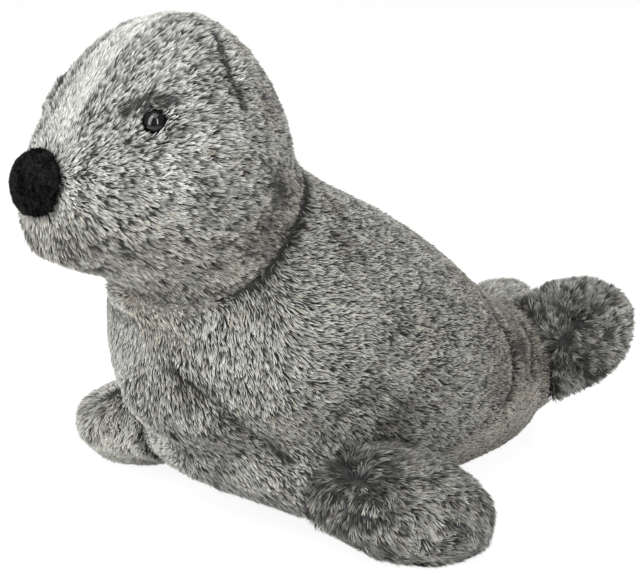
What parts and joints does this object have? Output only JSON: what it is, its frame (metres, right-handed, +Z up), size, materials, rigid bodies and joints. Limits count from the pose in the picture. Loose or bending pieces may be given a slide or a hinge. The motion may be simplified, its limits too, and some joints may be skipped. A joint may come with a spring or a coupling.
{
  "type": "plush seal",
  "caption": "Stuffed toy seal in frosted grey pile, propped on its front flippers with its head up, with a black pile nose and gloss black eyes.",
  "frame": {"origin": "on the floor under the middle of the toy's bounding box", "axes": "+Z up, the seal looks along -Y, +X is its left side"},
  "size_m": [0.2904, 0.4206, 0.2842],
  "materials": {
    "frosted_pile": "frosted pile, dark roots and pale tips",
    "dark_pile": "frosted pile, darker, with dark centres",
    "nose_pile": "short black pile",
    "eye_gloss": "polished black",
    "washer_nylon": "moulded"
  },
  "bodies": {
    "root": {"body": "frosted_pile", "head": "frosted_pile", "nose": "nose_pile", "eye_left": "eye_gloss", "eye_right": "eye_gloss", "eye_washer_left": "washer_nylon", "eye_washer_right": "washer_nylon", "front_flipper_left": "dark_pile", "front_flipper_right": "dark_pile", "rear_flipper_left": "dark_pile", "rear_flipper_right": "dark_pile"}
  },
  "joints": []
}
